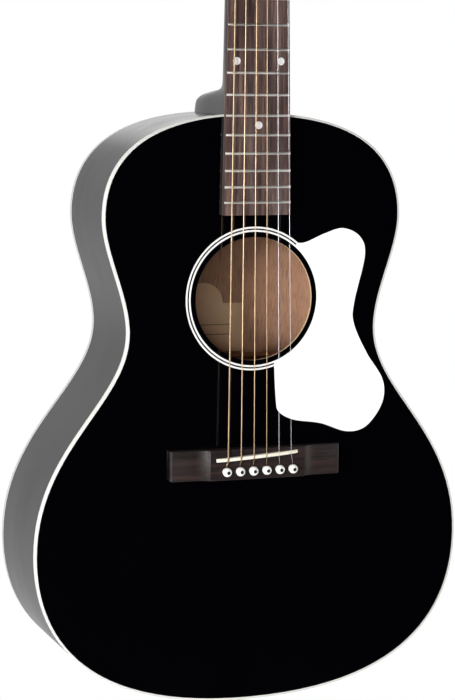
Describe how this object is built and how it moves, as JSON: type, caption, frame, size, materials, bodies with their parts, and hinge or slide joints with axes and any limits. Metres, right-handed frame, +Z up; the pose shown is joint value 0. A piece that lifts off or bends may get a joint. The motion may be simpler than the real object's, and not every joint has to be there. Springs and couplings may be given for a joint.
{
  "type": "acoustic guitar",
  "caption": "Small-bodied flat-top acoustic guitar with braced hollow body, dovetailed neck, pinned bridge and working open-back tuning machines.",
  "frame": {"origin": "centre of the end pin's outer face, at the bottom of the body", "axes": "+Z up the neck, +Y from the soundboard to the back, +X to the treble side"},
  "size_m": [0.372, 0.1333, 1.0254],
  "materials": {
    "top_lacquer": "gloss black lacquer over spruce",
    "body_lacquer": "satin black lacquer over mahogany",
    "white_plastic": "gloss",
    "spruce": "bare, sanded",
    "bare_wood": "bare mahogany, sanded",
    "rosewood": "open-pored, oiled",
    "bone": "polished",
    "plain_steel": "drawn wire",
    "wound_bronze": "bronze wound",
    "steel": "plain",
    "nickel": "nickel plated",
    "brass": "turned"
  },
  "bodies": {
    "guitar": {"soundboard": "top_lacquer", "back_plate": "body_lacquer", "bass_side": "body_lacquer", "treble_side": "body_lacquer", "top_binding": "white_plastic", "back_binding": "white_plastic", "rosette": "white_plastic", "pickguard": "white_plastic", "top_lining_bass": "bare_wood", "top_lining_treble": "bare_wood", "back_lining_bass": "bare_wood", "back_lining_treble": "bare_wood", "neck_block": "bare_wood", "tail_block": "bare_wood", "x_brace_bass": "spruce", "x_brace_treble": "spruce", "tone_bar_1": "spruce", "tone_bar_2": "spruce", "upper_face_brace": "spruce", "bridge_plate": "spruce", "back_brace_1": "bare_wood", "back_brace_2": "bare_wood", "back_brace_3": "bare_wood", "back_brace_4": "bare_wood", "bridge": "rosewood", "fretboard": "rosewood", "saddle": "bone", "nut": "bone", "end_pin": "white_plastic", "neck": "body_lacquer", "heel_cap": "body_lacquer", "truss_rod": "steel", "truss_rod_cover": "white_plastic", "tuner_plate_bass": "nickel", "tuner_plate_treble": "nickel", "string_1": "plain_steel", "string_2": "plain_steel", "string_3": "wound_bronze", "string_4": "wound_bronze", "string_5": "wound_bronze", "string_6": "wound_bronze"},
    "truss_rod_nut": {"truss_rod_nut": "brass"},
    "bridge_pin_1": {"bridge_pin_1": "white_plastic"},
    "bridge_pin_2": {"bridge_pin_2": "white_plastic"},
    "bridge_pin_3": {"bridge_pin_3": "white_plastic"},
    "bridge_pin_4": {"bridge_pin_4": "white_plastic"},
    "bridge_pin_5": {"bridge_pin_5": "white_plastic"},
    "bridge_pin_6": {"bridge_pin_6": "white_plastic"},
    "tuner_knob_1": {"tuner_knob_1": "nickel"},
    "string_post_1": {"string_post_1": "nickel"},
    "tuner_knob_2": {"tuner_knob_2": "nickel"},
    "string_post_2": {"string_post_2": "nickel"},
    "tuner_knob_3": {"tuner_knob_3": "nickel"},
    "string_post_3": {"string_post_3": "nickel"},
    "tuner_knob_4": {"tuner_knob_4": "nickel"},
    "string_post_4": {"string_post_4": "nickel"},
    "tuner_knob_5": {"tuner_knob_5": "nickel"},
    "string_post_5": {"string_post_5": "nickel"},
    "tuner_knob_6": {"tuner_knob_6": "nickel"},
    "string_post_6": {"string_post_6": "nickel"}
  },
  "joints": [
    {"name": "bridge_pin_1_pull", "type": "slide", "parent": "guitar", "child": "bridge_pin_1", "axis": [0, -1, 0], "range_m": [0, 0.03]},
    {"name": "bridge_pin_2_pull", "type": "slide", "parent": "guitar", "child": "bridge_pin_2", "axis": [0, -1, 0], "range_m": [0, 0.03]},
    {"name": "bridge_pin_3_pull", "type": "slide", "parent": "guitar", "child": "bridge_pin_3", "axis": [0, -1, 0], "range_m": [0, 0.03]},
    {"name": "bridge_pin_4_pull", "type": "slide", "parent": "guitar", "child": "bridge_pin_4", "axis": [0, -1, 0], "range_m": [0, 0.03]},
    {"name": "bridge_pin_5_pull", "type": "slide", "parent": "guitar", "child": "bridge_pin_5", "axis": [0, -1, 0], "range_m": [0, 0.03]},
    {"name": "bridge_pin_6_pull", "type": "slide", "parent": "guitar", "child": "bridge_pin_6", "axis": [0, -1, 0], "range_m": [0, 0.03]},
    {"name": "tuner_knob_1_turn", "type": "hinge", "parent": "guitar", "child": "tuner_knob_1", "pos_m": [0.0215, -0.02657, 0.87792], "axis": [1, 0, 0], "continuous": true},
    {"name": "string_post_1_turn", "type": "hinge", "parent": "guitar", "child": "string_post_1", "pos_m": [0.0215, -0.04386, 0.89068], "axis": [0, -0.9659, 0.2588], "continuous": true},
    {"name": "tuner_knob_2_turn", "type": "hinge", "parent": "guitar", "child": "tuner_knob_2", "pos_m": [0.0215, -0.01674, 0.91463], "axis": [1, 0, 0], "continuous": true},
    {"name": "string_post_2_turn", "type": "hinge", "parent": "guitar", "child": "string_post_2", "pos_m": [0.0215, -0.03402, 0.92739], "axis": [0, -0.9659, 0.2588], "continuous": true},
    {"name": "tuner_knob_3_turn", "type": "hinge", "parent": "guitar", "child": "tuner_knob_3", "pos_m": [0.0215, -0.0069, 0.95134], "axis": [1, 0, 0], "continuous": true},
    {"name": "string_post_3_turn", "type": "hinge", "parent": "guitar", "child": "string_post_3", "pos_m": [0.0215, -0.02419, 0.96409], "axis": [0, -0.9659, 0.2588], "continuous": true},
    {"name": "tuner_knob_4_turn", "type": "hinge", "parent": "guitar", "child": "tuner_knob_4", "pos_m": [-0.0215, -0.0069, 0.95134], "axis": [1, 0, 0], "continuous": true},
    {"name": "string_post_4_turn", "type": "hinge", "parent": "guitar", "child": "string_post_4", "pos_m": [-0.0215, -0.02419, 0.96409], "axis": [0, -0.9659, 0.2588], "continuous": true},
    {"name": "tuner_knob_5_turn", "type": "hinge", "parent": "guitar", "child": "tuner_knob_5", "pos_m": [-0.0215, -0.01674, 0.91463], "axis": [1, 0, 0], "continuous": true},
    {"name": "string_post_5_turn", "type": "hinge", "parent": "guitar", "child": "string_post_5", "pos_m": [-0.0215, -0.03402, 0.92739], "axis": [0, -0.9659, 0.2588], "continuous": true},
    {"name": "tuner_knob_6_turn", "type": "hinge", "parent": "guitar", "child": "tuner_knob_6", "pos_m": [-0.0215, -0.02657, 0.87792], "axis": [1, 0, 0], "continuous": true},
    {"name": "string_post_6_turn", "type": "hinge", "parent": "guitar", "child": "string_post_6", "pos_m": [-0.0215, -0.04386, 0.89068], "axis": [0, -0.9659, 0.2588], "continuous": true},
    {"name": "truss_rod_nut_turn", "type": "hinge", "parent": "guitar", "child": "truss_rod_nut", "pos_m": [0, -0.04717, 0.857], "axis": [0, 0, 1], "range_deg": [-180, 180]}
  ],
  "couplings": [
    {"joint": "string_post_1_turn", "follows": "tuner_knob_1_turn", "ratio": -0.071429},
    {"joint": "string_post_2_turn", "follows": "tuner_knob_2_turn", "ratio": -0.071429},
    {"joint": "string_post_3_turn", "follows": "tuner_knob_3_turn", "ratio": -0.071429},
    {"joint": "string_post_4_turn", "follows": "tuner_knob_4_turn", "ratio": 0.071429},
    {"joint": "string_post_5_turn", "follows": "tuner_knob_5_turn", "ratio": 0.071429},
    {"joint": "string_post_6_turn", "follows": "tuner_knob_6_turn", "ratio": 0.071429}
  ]
}
